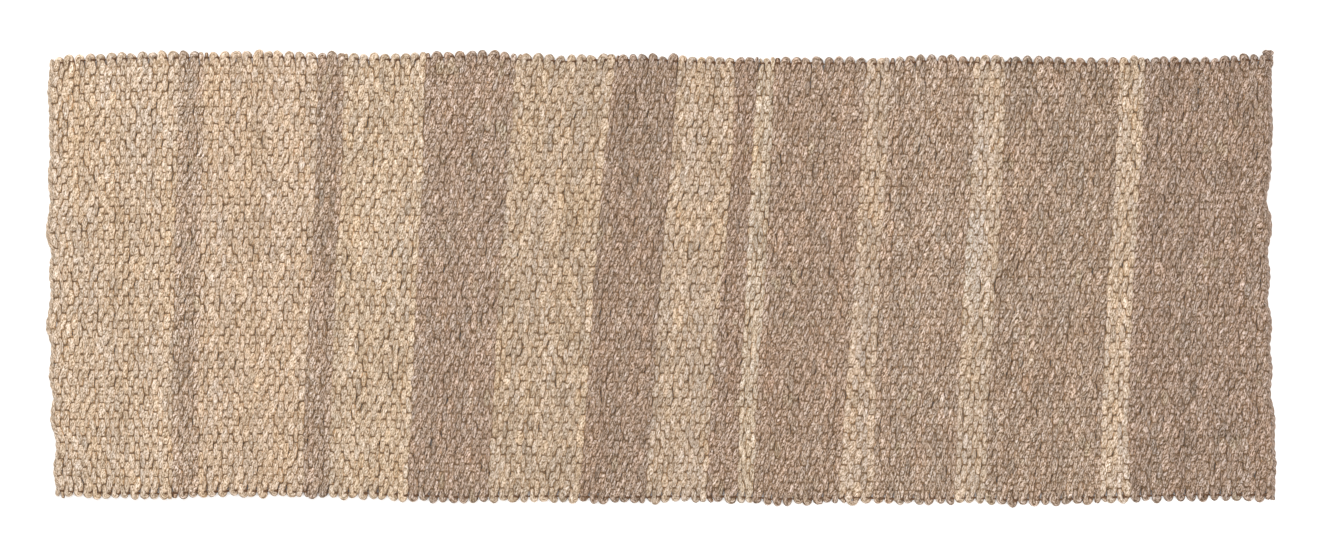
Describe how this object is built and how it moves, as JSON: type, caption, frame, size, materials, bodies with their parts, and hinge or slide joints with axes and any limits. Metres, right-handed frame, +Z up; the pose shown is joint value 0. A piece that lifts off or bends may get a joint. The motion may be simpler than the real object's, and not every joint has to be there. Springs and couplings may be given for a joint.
{
  "type": "runner rug",
  "caption": "Long narrow hand-woven rug in thick plant-fibre yarn, weft-faced plain weave, with uneven slanted stripes in warm cream and grey-brown across its width.",
  "frame": {"origin": "centre of the rug's footprint, on the surface that it lies on", "axes": "+X along the rug's length, towards the end that is all brown; +Y across the width, towards the back long edge; +Z up out of the face"},
  "size_m": [2.1464, 0.796, 0.01],
  "materials": {
    "natural_weft": "matte spun plant fibre, undyed warm cream, coarse hairy yarn",
    "brown_weft": "matte spun plant fibre, grey-brown, coarse hairy yarn",
    "warp_cord": "matte twisted plant-fibre cord, mostly hidden by the weft"
  },
  "bodies": {
    "left_half": {"weft_band_01_natural": "natural_weft", "weft_band_02_brown": "brown_weft", "weft_band_03_natural": "natural_weft", "weft_band_04_brown": "brown_weft", "weft_band_05_natural": "natural_weft", "weft_band_06_brown": "brown_weft", "weft_band_07_natural": "natural_weft", "weft_band_08_brown": "brown_weft", "warp_cords_left_half": "warp_cord", "selvedge_cord_back_left_half": "warp_cord", "selvedge_cord_front_left_half": "warp_cord", "end_cord_left": "natural_weft"},
    "right_half": {"weft_band_09_natural": "natural_weft", "weft_band_10_brown": "brown_weft", "weft_band_11_natural": "natural_weft", "weft_band_12_brown": "brown_weft", "weft_band_13_natural": "natural_weft", "weft_band_14_brown": "brown_weft", "weft_band_15_natural": "natural_weft", "weft_band_16_brown": "brown_weft", "weft_band_17_natural": "natural_weft", "weft_band_18_brown": "brown_weft", "warp_cords_right_half": "warp_cord", "selvedge_cord_back_right_half": "warp_cord", "selvedge_cord_front_right_half": "warp_cord", "end_cord_right": "brown_weft", "corner_knot": "brown_weft"}
  },
  "joints": [
    {"name": "fold_over", "type": "hinge", "parent": "left_half", "child": "right_half", "pos_m": [0, 0, 0.0125], "axis": [0, -1, 0], "range_deg": [0, 180]}
  ]
}
